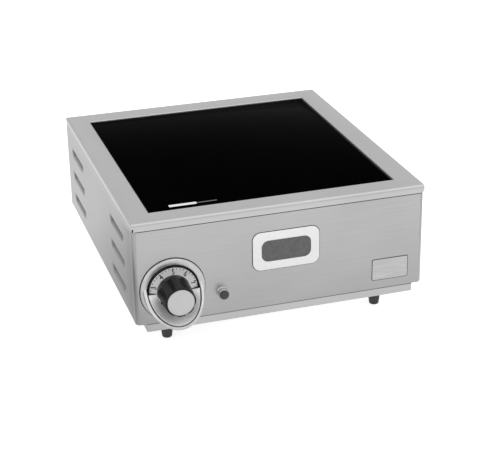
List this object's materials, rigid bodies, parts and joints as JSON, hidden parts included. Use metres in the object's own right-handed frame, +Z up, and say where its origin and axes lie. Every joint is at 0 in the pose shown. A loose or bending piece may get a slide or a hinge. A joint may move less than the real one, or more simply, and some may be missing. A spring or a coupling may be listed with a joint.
{
  "type": "countertop glass-ceramic hot plate",
  "caption": "Free-standing electric hot plate: folded stainless case with a flush black glass-ceramic top, louvred sides, rubber feet and a guarded control knob.",
  "frame": {"origin": "on the counter under the middle of the overall box", "axes": "+Z up, -Y out of the front panel with the knob, +X to the right seen from the front"},
  "size_m": [0.375, 0.456, 0.1765],
  "materials": {
    "stainless": "brushed stainless sheet, satin",
    "plated_steel": "zinc plated steel",
    "black_glass": "polished black glass-ceramic, opaque",
    "silicone": "matt black silicone",
    "foot_rubber": "moulded black rubber",
    "chrome": "bright chrome plate",
    "dial_metal": "bright spun metal with dark dial marks",
    "knob_plastic": "moulded black phenolic, semi-gloss",
    "cap_metal": "brushed disc",
    "lens_plastic": "dark lens, unlit",
    "badge_enamel": "white enamel with a plain grey field",
    "label_foil": "bare foil plate",
    "insulation": "pressed ceramic fibre, matt",
    "ribbon_alloy": "oxidised resistance ribbon",
    "rod_quartz": "clear quartz sheath",
    "ceramic": "unglazed steatite",
    "phenolic": "moulded phenolic",
    "brass": "plain brass",
    "bushing_nylon": "black nylon",
    "wire_cover": "glass-braid wire cover"
  },
  "bodies": {
    "case": {"badge_plaque": "badge_enamel", "bezel_gasket": "silicone", "bezel_screws": "plated_steel", "bottom_pan": "stainless", "bushing_locknut": "plated_steel", "cord_bushing": "bushing_nylon", "element_dish": "plated_steel", "element_rail_front": "plated_steel", "element_rail_rear": "plated_steel", "element_springs": "plated_steel", "foot_front_left": "foot_rubber", "foot_front_right": "foot_rubber", "foot_nuts": "plated_steel", "foot_rear_left": "foot_rubber", "foot_rear_right": "foot_rubber", "foot_studs": "plated_steel", "front_panel": "stainless", "glass_gasket": "silicone", "glass_plate": "black_glass", "heat_shield": "plated_steel", "heating_ribbon": "ribbon_alloy", "insulation_base": "insulation", "insulation_wall": "insulation", "knob_bezel": "chrome", "label_plate": "label_foil", "left_side_panel": "stainless", "limiter_head": "ceramic", "limiter_rod": "rod_quartz", "line_wire": "wire_cover", "load_wire": "wire_cover", "pilot_barrel": "chrome", "pilot_body": "phenolic", "pilot_clip": "plated_steel", "pilot_lens": "lens_plastic", "pilot_wire": "wire_cover", "rear_panel": "stainless", "rear_screws": "plated_steel", "return_wire": "wire_cover", "right_side_panel": "stainless", "switch_bimetal": "brass", "switch_body": "phenolic", "switch_bushing": "brass", "switch_nut": "plated_steel", "switch_plate": "plated_steel", "switch_terminals": "brass", "terminal_block": "ceramic", "terminal_screws": "plated_steel", "top_frame": "stainless"},
    "knob": {"dial_skirt": "dial_metal", "knob_grip": "knob_plastic", "knob_cap": "cap_metal", "switch_shaft": "plated_steel", "switch_cam": "phenolic"}
  },
  "joints": [
    {"name": "knob_turn", "type": "hinge", "parent": "case", "child": "knob", "pos_m": [-0.1408, -0.187, 0.0861], "axis": [0, -1, 0], "continuous": true}
  ]
}
